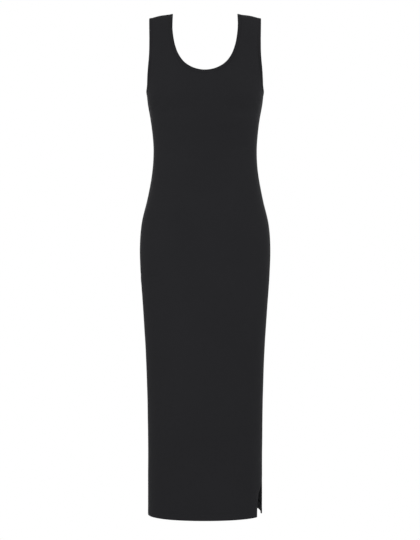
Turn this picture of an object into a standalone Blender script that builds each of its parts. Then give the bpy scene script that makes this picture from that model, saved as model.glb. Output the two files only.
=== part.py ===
"""Racerback midi dress in black jersey, hollow and upright, as it hangs when it is worn.

Metres, +Z up. The front faces -Y and +X is the wearer's left. The origin lies midway between the two
shoulders, at the height of the neck end of the shoulder seams, where the wearer carries the dress.

Every piece lies on one form, the outer face of the cloth. A point of the form has an angle round the body
(0 on the centre line, 90 at the side seam) and a root: the square root of its drop below the shoulder,
positive on the front and negative on the back. The root runs smoothly over the rounded shoulder, where
the drop is nought and front turns into back.
"""

import math

import bmesh
import bpy
import numpy as np

# Whole dress. The hem of the back rises a little, most of it near the hem and evenly between the side
# seams: the larger the two powers, the nearer to the hem and to the seams the rise stays.
HEM_DROP = 1.251
UNDERARM_DROP = 0.196
BACK_HEM_RISE = 0.008
BACK_HEM_RISE_ACROSS = 12
BACK_HEM_RISE_DOWN = 4
SHOULDER_SLOPE = 0.19
SHOULDER_SLOPE_ENDS = 0.12
NECK_HALF_WIDTH = 0.0808

# Cloth
JERSEY = 0.0012
DOUBLED_JERSEY = 0.0024
BAND_WIDTH = 0.008
BAND_PROUD = 0.0003
HEM_DEPTH = 0.020
HEM_STEP = 0.006
PIECE_GAP = 0.0005
SIDE_SEAM_GAP = 0.0006
SHOULDER_SEAM_GAP = 0.0010

# Slit at the wearer's left. Its front (1) and back (-1) edges swing open, in degrees at the hem.
SLIT_TOP_DROP = 1.154
SLIT_SWING = {1: 28.5, -1: 3.0}

# Bust of the general figure, a soft swell on each side of the front
BUST_SWELL = 0.010
BUST_HALF_SPACING = 0.078
BUST_DROP = 0.212
BUST_HALF_WIDTH = 0.048
BUST_HALF_HEIGHT = 0.055

# Sections of the form, from the shoulder to the hem. The roundness is 2 for an ellipse, more for a boxier one.
# Columns: drop, half width, front depth, back depth, front roundness, back roundness.
SECTIONS = (
    (0.000, 0.1760, 0.000, 0.000, 2.2, 2.2),
    (0.010, 0.1760, 0.029, 0.029, 2.2, 2.2),
    (0.030, 0.1752, 0.049, 0.048, 2.2, 2.2),
    (0.060, 0.1730, 0.067, 0.066, 2.2, 2.2),
    (0.110, 0.1665, 0.087, 0.084, 2.2, 2.2),
    (0.150, 0.1575, 0.099, 0.093, 2.2, 2.2),
    (0.196, 0.1470, 0.109, 0.098, 2.2, 2.2),
    (0.225, 0.1439, 0.110, 0.098, 2.2, 2.2),
    (0.265, 0.1368, 0.105, 0.094, 2.2, 2.2),
    (0.306, 0.1314, 0.096, 0.087, 2.2, 2.2),
    (0.346, 0.1292, 0.091, 0.083, 2.2, 2.2),
    (0.406, 0.1337, 0.094, 0.090, 2.2, 2.2),
    (0.466, 0.1450, 0.100, 0.104, 2.2, 2.2),
    (0.526, 0.1590, 0.104, 0.117, 2.2, 2.2),
    (0.586, 0.1635, 0.105, 0.122, 2.2, 2.2),
    (0.646, 0.1618, 0.103, 0.120, 2.2, 2.2),
    (0.726, 0.1562, 0.100, 0.113, 2.2, 2.3),
    (0.827, 0.1496, 0.098, 0.105, 2.2, 2.4),
    (0.947, 0.1450, 0.098, 0.101, 2.2, 2.5),
    (1.067, 0.1430, 0.099, 0.100, 2.2, 2.6),
    (1.251, 0.1430, 0.100, 0.100, 2.2, 2.6),
)

# Finished neck edge from the centre of the front over the shoulder to the centre of the back,
# where the drop is written as negative. Columns: half width, drop.
NECK_EDGE = (
    (0.0000, 0.1530),
    (0.0280, 0.1475),
    (0.0487, 0.1345),
    (0.0655, 0.1110),
    (0.0739, 0.0874),
    (0.0794, 0.0556),
    (0.0812, 0.0220),
    (0.0808, 0.0000),
    (0.0828, -0.0200),
    (0.0835, -0.0500),
    (0.0790, -0.0820),
    (0.0700, -0.1040),
    (0.0530, -0.1230),
    (0.0300, -0.1330),
    (0.0000, -0.1365),
)

# Finished armhole edge from the underarm up the front, over the shoulder and down the racer back,
# where the drop is written as negative. Columns: angle round the form in degrees, drop.
ARMHOLE_EDGE = (
    (90.0, 0.1960),
    (81.0, 0.1930),
    (73.0, 0.1843),
    (67.5, 0.1700),
    (60.0, 0.1420),
    (54.0, 0.1100),
    (51.2, 0.0700),
    (50.3, 0.0300),
    (50.3, 0.0000),
    (49.0, -0.0250),
    (46.0, -0.0550),
    (41.0, -0.0850),
    (35.5, -0.1080),
    (30.0, -0.1280),
    (26.5, -0.1450),
    (26.3, -0.1590),
    (31.5, -0.1735),
    (45.0, -0.1850),
    (66.0, -0.1930),
    (90.0, -0.1960),
)

# How finely the cloth is faceted. The rows of the front are under 1 and those of the back under -1.
# The rows climb towards the side seam, so that they meet the foot of the armhole at a slant.
COLUMNS_EACH_SIDE = 9
HEM_ROWS = 2
SLIT_ROWS = 5
SKIRT_ROWS = 24
SKIRT_TOP_AT_CENTRE = {1: 0.245, -1: 0.380}
CENTRE_ROWS = {1: 6, -1: 9}
NECK_ROWS = {1: 14, -1: 16}
FINE_STEPS = 400
TINY = 1e-4
WELD = 1e-6
MIRROR = np.array([-1, 1])

JERSEY_COLOUR = (0.018, 0.018, 0.020, 1.0)
JERSEY_ROUGHNESS = 0.85


def smooth(knots, values, at):
    """Reads a table between its rows, on a smooth curve that passes through all of them."""
    knots = np.asarray(knots, float)
    values = np.asarray(values, float)
    slopes = np.gradient(values, knots, axis=0)
    at = np.asarray(at, float)
    row = np.clip(np.searchsorted(knots, at, side="right") - 1, 0, len(knots) - 2)
    span = knots[row + 1] - knots[row]
    t = (at - knots[row]) / span
    if values.ndim > 1:
        span = span[..., None]
        t = t[..., None]
    start = values[row] * (1 + 2 * t) * (1 - t) ** 2 + slopes[row] * span * t * (1 - t) ** 2
    end = values[row + 1] * t * t * (3 - 2 * t) + slopes[row + 1] * span * t * t * (t - 1)
    return start + end


SECTION_ROOTS = np.sqrt([row[0] for row in SECTIONS])
SECTION_VALUES = np.array([row[1:] for row in SECTIONS])


def section(root):
    """Half width, depth and roundness of the form at a root; the depth is negative on the back."""
    root = np.asarray(root, float)
    half_width, front, back, front_round, back_round = np.moveaxis(
        smooth(SECTION_ROOTS, SECTION_VALUES, np.abs(root)), -1, 0
    )
    on_front = root >= 0
    depth = np.where(on_front, front, -back)
    roundness = np.where(on_front, front_round, back_round)
    return half_width, depth, roundness


def form(angle, root):
    """Points on the outer face of the cloth, for angles in radians."""
    angle = np.asarray(angle, float)
    root = np.asarray(root, float)
    half_width, depth, roundness = section(root)
    reach = (np.abs(np.sin(angle)) ** roundness + np.abs(np.cos(angle)) ** roundness) ** (1 / roundness)
    x = half_width * np.sin(angle) / reach
    y = -depth * np.cos(angle) / reach
    drop = root**2
    across = (np.abs(x) - BUST_HALF_SPACING) / BUST_HALF_WIDTH
    down = (drop - BUST_DROP) / BUST_HALF_HEIGHT
    y = y - np.where(root > 0, BUST_SWELL * np.cos(angle) * np.exp(-(across**2) - down**2), 0)
    level = np.clip(1 - drop / SHOULDER_SLOPE_ENDS, 0, 1)
    slope = SHOULDER_SLOPE * (np.abs(x) - NECK_HALF_WIDTH) * level * level * (3 - 2 * level)
    rise = BACK_HEM_RISE * (1 - np.abs(np.sin(angle)) ** BACK_HEM_RISE_ACROSS)
    rise = rise * (drop / HEM_DROP) ** BACK_HEM_RISE_DOWN
    z = -drop - slope + np.where(root < 0, rise, 0)
    return np.stack([x, y, z], axis=-1)


def angle_of(half_width, root):
    """The angle at which the form reaches a half width."""
    widest, _, roundness = section(root)
    across = np.clip(half_width / widest, 0, 1)
    return np.arctan2(across, (1 - across**roundness) ** (1 / roundness))


def root_of(drop):
    return math.copysign(math.sqrt(abs(drop)), drop)


def lengths_along(path):
    """Distance along a path of (angle, root) rows, measured on the form."""
    points = form(path[:, 0], path[:, 1])
    steps = np.linalg.norm(np.diff(points, axis=0), axis=1)
    return np.concatenate([[0], np.cumsum(steps)])


def edge_line(rows):
    """A fine smooth path through the rows of an edge. It crosses its own mirror image level at both ends."""
    rows = np.array(rows, float)
    before = [2 * rows[0, 0] - rows[1, 0], rows[1, 1]]
    after = [2 * rows[-1, 0] - rows[-2, 0], rows[-2, 1]]
    whole = np.vstack([before, rows, after])
    knots = lengths_along(whole)
    return smooth(knots, whole, np.linspace(knots[1], knots[-2], FINE_STEPS))


def moved_right(path, width):
    """The path moved over the form to its right, as seen from outside. Its ends keep their angles."""
    angle, root = path.T
    along = np.gradient(form(angle, root), axis=0)
    by_angle = (form(angle + TINY, root) - form(angle - TINY, root)) / (2 * TINY)
    by_root = (form(angle, root + TINY) - form(angle, root - TINY)) / (2 * TINY)
    sideways = np.cross(np.cross(by_angle, by_root), along)
    sideways *= width / np.linalg.norm(sideways, axis=1)[:, None]
    aa = (by_angle * by_angle).sum(axis=1)
    ar = (by_angle * by_root).sum(axis=1)
    rr = (by_root * by_root).sum(axis=1)
    a = (by_angle * sideways).sum(axis=1)
    r = (by_root * sideways).sum(axis=1)
    moved = path + np.stack([a * rr - r * ar, r * aa - a * ar], axis=1) / (aa * rr - ar * ar)[:, None]
    moved[0, 0] = angle[0]
    moved[-1, 0] = angle[-1]
    return moved


def edge_paths(rows, side):
    """The finished edge, the fold where its band ends and the cut edge of the panel, as three fine paths."""
    finished = edge_line(rows)
    fold = moved_right(finished, side * BAND_WIDTH)
    cut = moved_right(finished, side * (BAND_WIDTH + PIECE_GAP))
    return {"finished": finished, "fold": fold, "cut": cut}


def stretch(paths, name, sign, count):
    """Points of a path, from its low end on the front (1) or back (-1) up to the shoulder.

    They are abreast of points that are evenly spaced along the finished edge.
    """
    finished = paths["finished"]
    steps = np.arange(len(finished))
    lengths = lengths_along(finished)
    low = 0 if sign > 0 else lengths[-1]
    shoulder = np.interp(0, finished[::-1, 1], lengths[::-1])
    stops = np.interp(np.linspace(low, shoulder, count + 1), lengths, steps)
    points = np.stack([np.interp(stops, steps, column) for column in paths[name].T], axis=1)
    points[-1, 1] = 0
    return points


def clear_of_shoulder_seam(path, sign):
    """Steps the top of a path back from the shoulder seam by half the gap."""
    _, depth, _ = section(sign * TINY)
    reach = abs(float(depth)) / TINY * math.cos(path[-1, 0])
    path = path.copy()
    path[-1, 1] = sign * SHOULDER_SEAM_GAP / 2 / reach
    return path


def slit_swing(drop, swing):
    """How far a slit edge has swung open at a drop, in radians. It swings most near the top of the slit."""
    down = np.clip((drop - SLIT_TOP_DROP) / (HEM_DROP - SLIT_TOP_DROP), 0, 1)
    return math.radians(swing) * (1 - (1 - down) ** 3)


def skirt_roots(sign, top_drop):
    """Roots of the rows from the hem up to a drop: the turned hem, the rest of the slit and the rest of the skirt."""
    hem = np.array([HEM_DROP, HEM_DROP - HEM_DEPTH])
    slit = np.linspace(HEM_DROP - HEM_DEPTH - HEM_STEP, SLIT_TOP_DROP, SLIT_ROWS)
    skirt = np.linspace(SLIT_TOP_DROP, top_drop, SKIRT_ROWS)[1:]
    return sign * np.sqrt(np.concatenate([hem, slit, skirt]))


def half_panel(sign, neck, armhole, swing):
    """Grid of (angle, root) over one half of a panel: rows from the hem up, columns from the centre line out."""
    armhole_part = stretch(armhole, "cut", sign, CENTRE_ROWS[sign] + NECK_ROWS[sign])
    seam_roots = skirt_roots(sign, armhole_part[0, 1] ** 2)
    _, depth, _ = section(seam_roots)
    seam_angles = math.pi / 2 - SIDE_SEAM_GAP / 2 / np.abs(depth) - slit_swing(seam_roots**2, swing)
    seam = np.stack([seam_angles, seam_roots], axis=1)
    outer = np.vstack([seam, armhole_part[1:]])

    neck_part = stretch(neck, "cut", sign, NECK_ROWS[sign])
    centre_roots = skirt_roots(sign, SKIRT_TOP_AT_CENTRE[sign])
    upper_roots = np.linspace(centre_roots[-1], neck_part[0, 1], CENTRE_ROWS[sign] + 1)
    centre_roots = np.concatenate([centre_roots[:-1], upper_roots[:-1]])
    inner = np.vstack([np.stack([0 * centre_roots, centre_roots], axis=1), neck_part])

    outer = clear_of_shoulder_seam(outer, sign)
    inner = clear_of_shoulder_seam(inner, sign)
    share = np.linspace(0, 1, COLUMNS_EACH_SIDE + 1)[None, :, None]
    return inner[:, None] * (1 - share) + outer[:, None] * share


def jersey_material(name):
    material = bpy.data.materials.new(name)
    material.use_nodes = True
    shader = material.node_tree.nodes["Principled BSDF"]
    shader.inputs["Base Color"].default_value = JERSEY_COLOUR
    shader.inputs["Roughness"].default_value = JERSEY_ROUGHNESS
    shader.inputs["Metallic"].default_value = 0.0
    return material


def sheet_object(name, sheets, collection, parent):
    """An open sheet of one or more grids, welded where they meet.

    A grid is given by its points and, for each point, 1 where the cloth is doubled. Its faces point to the
    side from which its columns run to the right and its rows run up.
    """
    cloth = bmesh.new()
    weights = cloth.verts.layers.deform.verify()
    for points, doubled in sheets:
        rows, columns = doubled.shape
        grid = bmesh.ops.create_grid(cloth, x_segments=columns - 1, y_segments=rows - 1, size=0.5)
        for vertex in grid["verts"]:
            column = round((vertex.co.x + 0.5) * (columns - 1))
            row = round((vertex.co.y + 0.5) * (rows - 1))
            vertex.co = points[row, column]
            vertex[weights][0] = doubled[row, column]
    bmesh.ops.remove_doubles(cloth, verts=cloth.verts, dist=WELD)
    mesh = bpy.data.meshes.new(name)
    cloth.to_mesh(mesh)
    cloth.free()
    mesh.shade_smooth()
    mesh.materials.append(jersey_material(name + "_jersey"))
    piece = bpy.data.objects.new(name, mesh)
    piece.vertex_groups.new(name="doubled")
    collection.objects.link(piece)
    piece.parent = parent
    return piece


def thicken(piece, proud):
    """Gives a sheet its wall: single jersey, or twice that where it is doubled, nearly all inside the form."""
    wall = piece.modifiers.new("Wall", "SOLIDIFY")
    wall.thickness = DOUBLED_JERSEY
    wall.offset = 2 * proud / DOUBLED_JERSEY - 1
    wall.vertex_group = "doubled"
    wall.thickness_vertex_group = JERSEY / DOUBLED_JERSEY


def make_panel(name, sign, neck, armhole, collection, parent):
    """A panel of single jersey, doubled where the hem and the slit edge are turned in."""
    halves = []
    for side, swing in ((1, SLIT_SWING[sign]), (-1, 0)):
        grid = half_panel(sign, neck, armhole, swing) * [side, 1]
        doubled = np.zeros(grid.shape[:2])
        doubled[:HEM_ROWS] = 1
        if swing:
            doubled[grid[:, -1, 1] ** 2 > SLIT_TOP_DROP, -1] = 1
        step = side * sign
        halves.append((form(grid[:, ::step, 0], grid[:, ::step, 1]), doubled[:, ::step]))
    thicken(sheet_object(name, halves, collection, parent), 0)


def make_band(name, edges, collection, parent):
    """A folded strip between two closed edges, a little proud of the panels."""
    points = np.stack([form(edge[:, 0], edge[:, 1]) for edge in edges], axis=1)
    doubled = np.ones(points.shape[:2])
    thicken(sheet_object(name, [(points, doubled)], collection, parent), BAND_PROUD)


def ring(paths, name, front_rows, back_rows):
    """Points of a path from its low end on the front over the shoulder to its low end on the back."""
    front = stretch(paths, name, 1, front_rows)
    back = stretch(paths, name, -1, back_rows)
    return np.vstack([front, back[-2::-1]])


def neck_ring(neck, name):
    """The closed ring of a neck path, from the centre of the front round by the wearer's left."""
    left = ring(neck, name, NECK_ROWS[1], NECK_ROWS[-1])
    return np.vstack([left, left[-2::-1] * MIRROR])


def armhole_ring(armhole, name):
    """The closed ring of a path of the left armhole, from the underarm up the front and down the back."""
    return ring(armhole, name, CENTRE_ROWS[1] + NECK_ROWS[1], CENTRE_ROWS[-1] + NECK_ROWS[-1])


def main():
    for thing in list(bpy.data.objects):
        bpy.data.objects.remove(thing, do_unlink=True)
    collection = bpy.data.collections.new("racerback_midi_dress")
    bpy.context.scene.collection.children.link(collection)
    dress = bpy.data.objects.new("dress", None)
    collection.objects.link(dress)

    neck = edge_paths([(angle_of(half_width, root_of(drop)), root_of(drop)) for half_width, drop in NECK_EDGE], 1)
    armhole = edge_paths([(math.radians(angle), root_of(drop)) for angle, drop in ARMHOLE_EDGE], -1)
    make_panel("front_panel", 1, neck, armhole, collection, dress)
    make_panel("back_panel", -1, neck, armhole, collection, dress)
    make_band("neck_band", [neck_ring(neck, name) for name in ("finished", "fold")], collection, dress)
    left_armhole = [armhole_ring(armhole, name) for name in ("fold", "finished")]
    right_armhole = [edge * MIRROR for edge in reversed(left_armhole)]
    make_band("armhole_band_left", left_armhole, collection, dress)
    make_band("armhole_band_right", right_armhole, collection, dress)


if __name__ == "__main__":
    main()
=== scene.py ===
# %% [markdown]
# # A racerback midi dress in black jersey
#
# The dress is a close tube of fine cotton jersey, cut as a front and a back. A folded binding finishes the
# neck and each armhole, the hem is turned up once, and the left side seam is left open at the foot as a slit.
# It hangs hollow, in the shape that it has when it is worn.
#
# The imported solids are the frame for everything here. They are plain walls with the right place and size.
# This script lays fine cloth on the same form, with turned edges, bindings, stitches and creases, and hides
# the plain walls behind it.

# %% Load the frame
import math

import bpy
import numpy as np
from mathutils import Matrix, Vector
from mathutils.kdtree import KDTree


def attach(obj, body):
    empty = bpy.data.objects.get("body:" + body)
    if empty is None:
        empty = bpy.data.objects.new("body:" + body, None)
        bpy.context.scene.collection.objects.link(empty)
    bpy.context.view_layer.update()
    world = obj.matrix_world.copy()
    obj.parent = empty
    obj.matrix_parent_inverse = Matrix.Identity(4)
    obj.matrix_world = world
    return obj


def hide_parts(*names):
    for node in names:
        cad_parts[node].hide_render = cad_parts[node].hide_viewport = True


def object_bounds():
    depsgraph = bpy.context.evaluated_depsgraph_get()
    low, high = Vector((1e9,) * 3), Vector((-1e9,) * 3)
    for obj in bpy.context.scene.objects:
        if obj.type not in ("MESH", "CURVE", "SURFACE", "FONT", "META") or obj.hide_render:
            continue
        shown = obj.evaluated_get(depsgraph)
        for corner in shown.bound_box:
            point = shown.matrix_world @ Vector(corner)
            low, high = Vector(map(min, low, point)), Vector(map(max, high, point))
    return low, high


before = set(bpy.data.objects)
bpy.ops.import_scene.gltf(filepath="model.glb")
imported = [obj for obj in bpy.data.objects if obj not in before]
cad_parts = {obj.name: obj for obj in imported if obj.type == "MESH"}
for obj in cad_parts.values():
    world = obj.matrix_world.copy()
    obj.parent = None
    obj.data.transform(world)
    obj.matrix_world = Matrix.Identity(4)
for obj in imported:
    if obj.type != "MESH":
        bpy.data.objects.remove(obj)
cad_low, cad_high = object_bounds()
bpy.ops.object.select_all(action="DESELECT")
frame_size = [round(high - low, 3) for low, high in zip(cad_low, cad_high)]
print("the frame has", len(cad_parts), "nodes and is", frame_size, "m")

# %% [markdown]
# ## The form
#
# Jersey stretches, so a close dress takes a smooth rounded shape with no darts. A sculpted body would be one
# way to get it. A table of sections is better here, because each row can be read as a measurement: how wide
# the dress is at some drop below the shoulder, and how deep in front and behind.
#
# A point of the form has an angle round the body, from 0 on the centre line to 90 degrees at the side seam,
# and a root. The root is the square root of the drop, positive on the front and negative on the back. A
# plain drop would pinch where the cloth rolls over the shoulder, and the root runs smoothly across it.

# %% Sizes of the whole dress, in metres
HEM_DROP = 1.251
BACK_HEM_RISE = 0.008
BACK_HEM_RISE_ACROSS = 12
BACK_HEM_RISE_DOWN = 4
SHOULDER_SLOPE = 0.19
SHOULDER_SLOPE_ENDS = 0.12
NECK_HALF_WIDTH = 0.0808

BUST_SWELL = 0.010
BUST_HALF_SPACING = 0.078
BUST_DROP = 0.212
BUST_HALF_WIDTH = 0.048
BUST_HALF_HEIGHT = 0.055
WAIST_DROP = 0.346
HIP_DROP = 0.586

MM = 0.001
TINY = 1e-4
print("down from the shoulder: bust", BUST_DROP, "waist", WAIST_DROP, "hip", HIP_DROP, "m")

# %% Sections of the form, from the shoulder to the hem
# Columns: drop, half width, front depth, back depth, front roundness, back roundness.
SECTIONS = (
    (0.000, 0.1760, 0.000, 0.000, 2.2, 2.2),
    (0.010, 0.1760, 0.029, 0.029, 2.2, 2.2),
    (0.030, 0.1752, 0.049, 0.048, 2.2, 2.2),
    (0.060, 0.1730, 0.067, 0.066, 2.2, 2.2),
    (0.110, 0.1665, 0.087, 0.084, 2.2, 2.2),
    (0.150, 0.1575, 0.099, 0.093, 2.2, 2.2),
    (0.196, 0.1470, 0.109, 0.098, 2.2, 2.2),
    (0.225, 0.1439, 0.110, 0.098, 2.2, 2.2),
    (0.265, 0.1368, 0.105, 0.094, 2.2, 2.2),
    (0.306, 0.1314, 0.096, 0.087, 2.2, 2.2),
    (0.346, 0.1292, 0.091, 0.083, 2.2, 2.2),
    (0.406, 0.1337, 0.094, 0.090, 2.2, 2.2),
    (0.466, 0.1450, 0.100, 0.104, 2.2, 2.2),
    (0.526, 0.1590, 0.104, 0.117, 2.2, 2.2),
    (0.586, 0.1635, 0.105, 0.122, 2.2, 2.2),
    (0.646, 0.1618, 0.103, 0.120, 2.2, 2.2),
    (0.726, 0.1562, 0.100, 0.113, 2.2, 2.3),
    (0.827, 0.1496, 0.098, 0.105, 2.2, 2.4),
    (0.947, 0.1450, 0.098, 0.101, 2.2, 2.5),
    (1.067, 0.1430, 0.099, 0.100, 2.2, 2.6),
    (1.251, 0.1430, 0.100, 0.100, 2.2, 2.6),
)


# %% Read a table smoothly between its rows
def smooth(knots, values, at):
    """Reads a table between its rows, on a smooth curve that passes through all of them."""
    knots = np.asarray(knots, float)
    values = np.asarray(values, float)
    slopes = np.gradient(values, knots, axis=0)
    at = np.asarray(at, float)
    row = np.clip(np.searchsorted(knots, at, side="right") - 1, 0, len(knots) - 2)
    span = knots[row + 1] - knots[row]
    t = (at - knots[row]) / span
    if values.ndim > 1:
        span = span[..., None]
        t = t[..., None]
    start = values[row] * (1 + 2 * t) * (1 - t) ** 2 + slopes[row] * span * t * (1 - t) ** 2
    end = values[row + 1] * t * t * (3 - 2 * t) + slopes[row + 1] * span * t * t * (t - 1)
    return start + end


SECTION_ROOTS = np.sqrt([row[0] for row in SECTIONS])
SECTION_VALUES = np.array([row[1:] for row in SECTIONS])
print(len(SECTIONS), "sections, the widest", 2 * SECTION_VALUES[:, 0].max(), "m across")


# %% Points of the form
def section(root):
    """Half width, depth and roundness of the form at a root; the depth is negative on the back."""
    root = np.asarray(root, float)
    half_width, front, back, front_round, back_round = np.moveaxis(
        smooth(SECTION_ROOTS, SECTION_VALUES, np.abs(root)), -1, 0
    )
    on_front = root >= 0
    depth = np.where(on_front, front, -back)
    roundness = np.where(on_front, front_round, back_round)
    return half_width, depth, roundness


def form(angle, root):
    """Points on the outer face of the cloth, for angles in radians."""
    angle = np.asarray(angle, float)
    root = np.asarray(root, float)
    half_width, depth, roundness = section(root)
    reach = (np.abs(np.sin(angle)) ** roundness + np.abs(np.cos(angle)) ** roundness) ** (1 / roundness)
    x = half_width * np.sin(angle) / reach
    y = -depth * np.cos(angle) / reach
    drop = root**2
    beside = (np.abs(x) - BUST_HALF_SPACING) / BUST_HALF_WIDTH
    below = (drop - BUST_DROP) / BUST_HALF_HEIGHT
    y = y - np.where(root > 0, BUST_SWELL * np.cos(angle) * np.exp(-(beside**2) - below**2), 0)
    level = np.clip(1 - drop / SHOULDER_SLOPE_ENDS, 0, 1)
    slope = SHOULDER_SLOPE * (np.abs(x) - NECK_HALF_WIDTH) * level * level * (3 - 2 * level)
    rise = BACK_HEM_RISE * (1 - np.abs(np.sin(angle)) ** BACK_HEM_RISE_ACROSS)
    rise = rise * (drop / HEM_DROP) ** BACK_HEM_RISE_DOWN
    z = -drop - slope + np.where(root < 0, rise, 0)
    return np.stack([x, y, z], axis=-1)


print("the middle of the hem in front is at", form(0, math.sqrt(HEM_DROP)).round(3))


# %% Directions on the form
def form_slopes(angle, root):
    """How a point of the form moves with its angle and with its root."""
    by_angle = (form(angle + TINY, root) - form(angle - TINY, root)) / (2 * TINY)
    by_root = (form(angle, root + TINY) - form(angle, root - TINY)) / (2 * TINY)
    return by_angle, by_root


def outward(angle, root):
    """The direction straight out of the form."""
    by_angle, by_root = form_slopes(angle, root)
    normal = np.cross(by_root, by_angle)
    return normal / np.linalg.norm(normal, axis=-1, keepdims=True)


def angle_of(half_width, root):
    """The angle at which the form reaches a half width."""
    widest, _, roundness = section(root)
    share = np.clip(half_width / widest, 0, 1)
    return np.arctan2(share, (1 - share**roundness) ** (1 / roundness))


def root_of(drop):
    """The square root of a drop, with the drop's sign."""
    return math.copysign(math.sqrt(abs(drop)), drop)


print("out of the shoulder, straight ahead, is", outward(0, 0).round(3))

# %% Lengths along a line
QUARTER_TURN = math.pi / 2
QUARTER_STEPS = 99


def lengths_of(points):
    """Distance along a line of points."""
    return np.concatenate([[0], np.cumsum(np.linalg.norm(np.diff(points, axis=0), axis=1))])


def lengths_along(path):
    """Distance along a path of (angle, root) rows, measured on the form."""
    return lengths_of(form(path[:, 0], path[:, 1]))


def girth(drop):
    """Length once round the form at a drop."""
    quarter = np.linspace(0, QUARTER_TURN, QUARTER_STEPS)
    return 2 * sum(lengths_of(form(quarter, sign * root_of(drop)))[-1] for sign in (1, -1))


for name, drop in (("bust", BUST_DROP), ("waist", WAIST_DROP), ("hip", HIP_DROP)):
    print(name, "round the form:", round(girth(drop), 3), "m")

# %% [markdown]
# ## The neck and armhole edges
#
# The front neck is a deep scoop. The armholes of a racer back cut far in between the shoulder blades, so the
# straps turn inwards behind. Each finished edge is a short table, and a smooth path runs through its rows.
# A second path, at any distance inside the first, is worked out on the form itself.

# %% Finished edges
# Neck, from the centre of the front to the centre of the back. Columns: half width, drop.
# On the back the drop is written as negative.
NECK_EDGE = (
    (0.0000, 0.1530),
    (0.0280, 0.1475),
    (0.0487, 0.1345),
    (0.0655, 0.1110),
    (0.0739, 0.0874),
    (0.0794, 0.0556),
    (0.0812, 0.0220),
    (0.0808, 0.0000),
    (0.0828, -0.0200),
    (0.0835, -0.0500),
    (0.0790, -0.0820),
    (0.0700, -0.1040),
    (0.0530, -0.1230),
    (0.0300, -0.1330),
    (0.0000, -0.1365),
)

# Left armhole, from the underarm up the front and down the racer back. Columns: angle in degrees, drop.
ARMHOLE_EDGE = (
    (90.0, 0.1960),
    (81.0, 0.1930),
    (73.0, 0.1843),
    (67.5, 0.1700),
    (60.0, 0.1420),
    (54.0, 0.1100),
    (51.2, 0.0700),
    (50.3, 0.0300),
    (50.3, 0.0000),
    (49.0, -0.0250),
    (46.0, -0.0550),
    (41.0, -0.0850),
    (35.5, -0.1080),
    (30.0, -0.1280),
    (26.5, -0.1450),
    (26.3, -0.1590),
    (31.5, -0.1735),
    (45.0, -0.1850),
    (66.0, -0.1930),
    (90.0, -0.1960),
)
FINE_STEPS = 1200
print(len(NECK_EDGE), "rows for the neck and", len(ARMHOLE_EDGE), "for an armhole")


# %% Paths along the edges
def edge_line(rows):
    """A fine smooth path through the rows of an edge. It crosses its own mirror image level at both ends."""
    rows = np.array(rows, float)
    before = [2 * rows[0, 0] - rows[1, 0], rows[1, 1]]
    after = [2 * rows[-1, 0] - rows[-2, 0], rows[-2, 1]]
    whole = np.vstack([before, rows, after])
    knots = lengths_along(whole)
    return smooth(knots, whole, np.linspace(knots[1], knots[-2], FINE_STEPS))


def moved_right(path, width):
    """The path moved over the form to its right, as seen from outside. Its ends keep their angles."""
    angle, root = path.T
    along = np.gradient(form(angle, root), axis=0)
    by_angle, by_root = form_slopes(angle, root)
    sideways = np.cross(np.cross(by_angle, by_root), along)
    sideways *= width / np.linalg.norm(sideways, axis=1)[:, None]
    aa = (by_angle * by_angle).sum(axis=1)
    ar = (by_angle * by_root).sum(axis=1)
    rr = (by_root * by_root).sum(axis=1)
    a = (by_angle * sideways).sum(axis=1)
    r = (by_root * sideways).sum(axis=1)
    moved = path + np.stack([a * rr - r * ar, r * aa - a * ar], axis=1) / (aa * rr - ar * ar)[:, None]
    moved[0, 0] = angle[0]
    moved[-1, 0] = angle[-1]
    return moved


# %% Points along a path
def stations(finished, sign, count):
    """Where to stop along a finished edge, in even steps up to the shoulder.

    They start from its low end on the front (1) or the back (-1).
    """
    lengths = lengths_along(finished)
    low = 0 if sign > 0 else lengths[-1]
    shoulder = np.interp(0, finished[::-1, 1], lengths[::-1])
    return np.interp(np.linspace(low, shoulder, count + 1), lengths, np.arange(len(finished)))


def read_along(rows, knots, stops):
    """Rows of values, one for each knot, read at stops between the knots."""
    return np.stack([np.interp(stops, knots, column) for column in rows.T], axis=1)


def points_at(path, stops):
    """Points of a path at fractional steps along it."""
    return read_along(path, np.arange(len(path)), stops)


neck_roots = [root_of(drop) for _, drop in NECK_EDGE]
neck_edge = edge_line([(angle_of(row[0], root), root) for row, root in zip(NECK_EDGE, neck_roots)])
armhole_edge = edge_line([(math.radians(angle), root_of(drop)) for angle, drop in ARMHOLE_EDGE])
armhole_length = lengths_along(armhole_edge)[-1]
INWARD = {"neck": 1, "armhole": -1}
print("half the neck is", round(lengths_along(neck_edge)[-1], 3), "m")
print("an armhole is", round(armhole_length, 3), "m")

# %% [markdown]
# ## Where a point lies on the cloth
#
# Creases, seams and the knit all need to know where they are on the flat cloth: how far across from the
# centre line, and how far down from the shoulder. Both are measured along the form, as a tape would measure
# them.

# %% Measure across and down the cloth
TAPE_STEPS = 25
TAPE_ROWS = 401
ROOT_PAST_HEM = 1.13
TAPE_ROOTS = np.linspace(-ROOT_PAST_HEM, ROOT_PAST_HEM, TAPE_ROWS)
EIGHTH_TURN = math.pi / 4


def across(angle, root):
    """Distance round the form from the centre line, in metres."""
    share = np.linspace(0, 1, TAPE_STEPS)
    points = form(angle[..., None] * share, root[..., None] + 0 * share)
    return np.linalg.norm(np.diff(points, axis=-2), axis=-1).sum(axis=-1)


TAPE_DOWN = lengths_along(np.stack([0 * TAPE_ROOTS + EIGHTH_TURN, TAPE_ROOTS], axis=1))
TAPE_DOWN = TAPE_DOWN - np.interp(0, TAPE_ROOTS, TAPE_DOWN)


def down(root):
    """Distance down the cloth from the shoulder, positive in front and negative behind, in metres."""
    return np.interp(root, TAPE_ROOTS, TAPE_DOWN)


print("shoulder to hem along the cloth:", round(float(down(root_of(HEM_DROP))), 3), "m")

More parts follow.
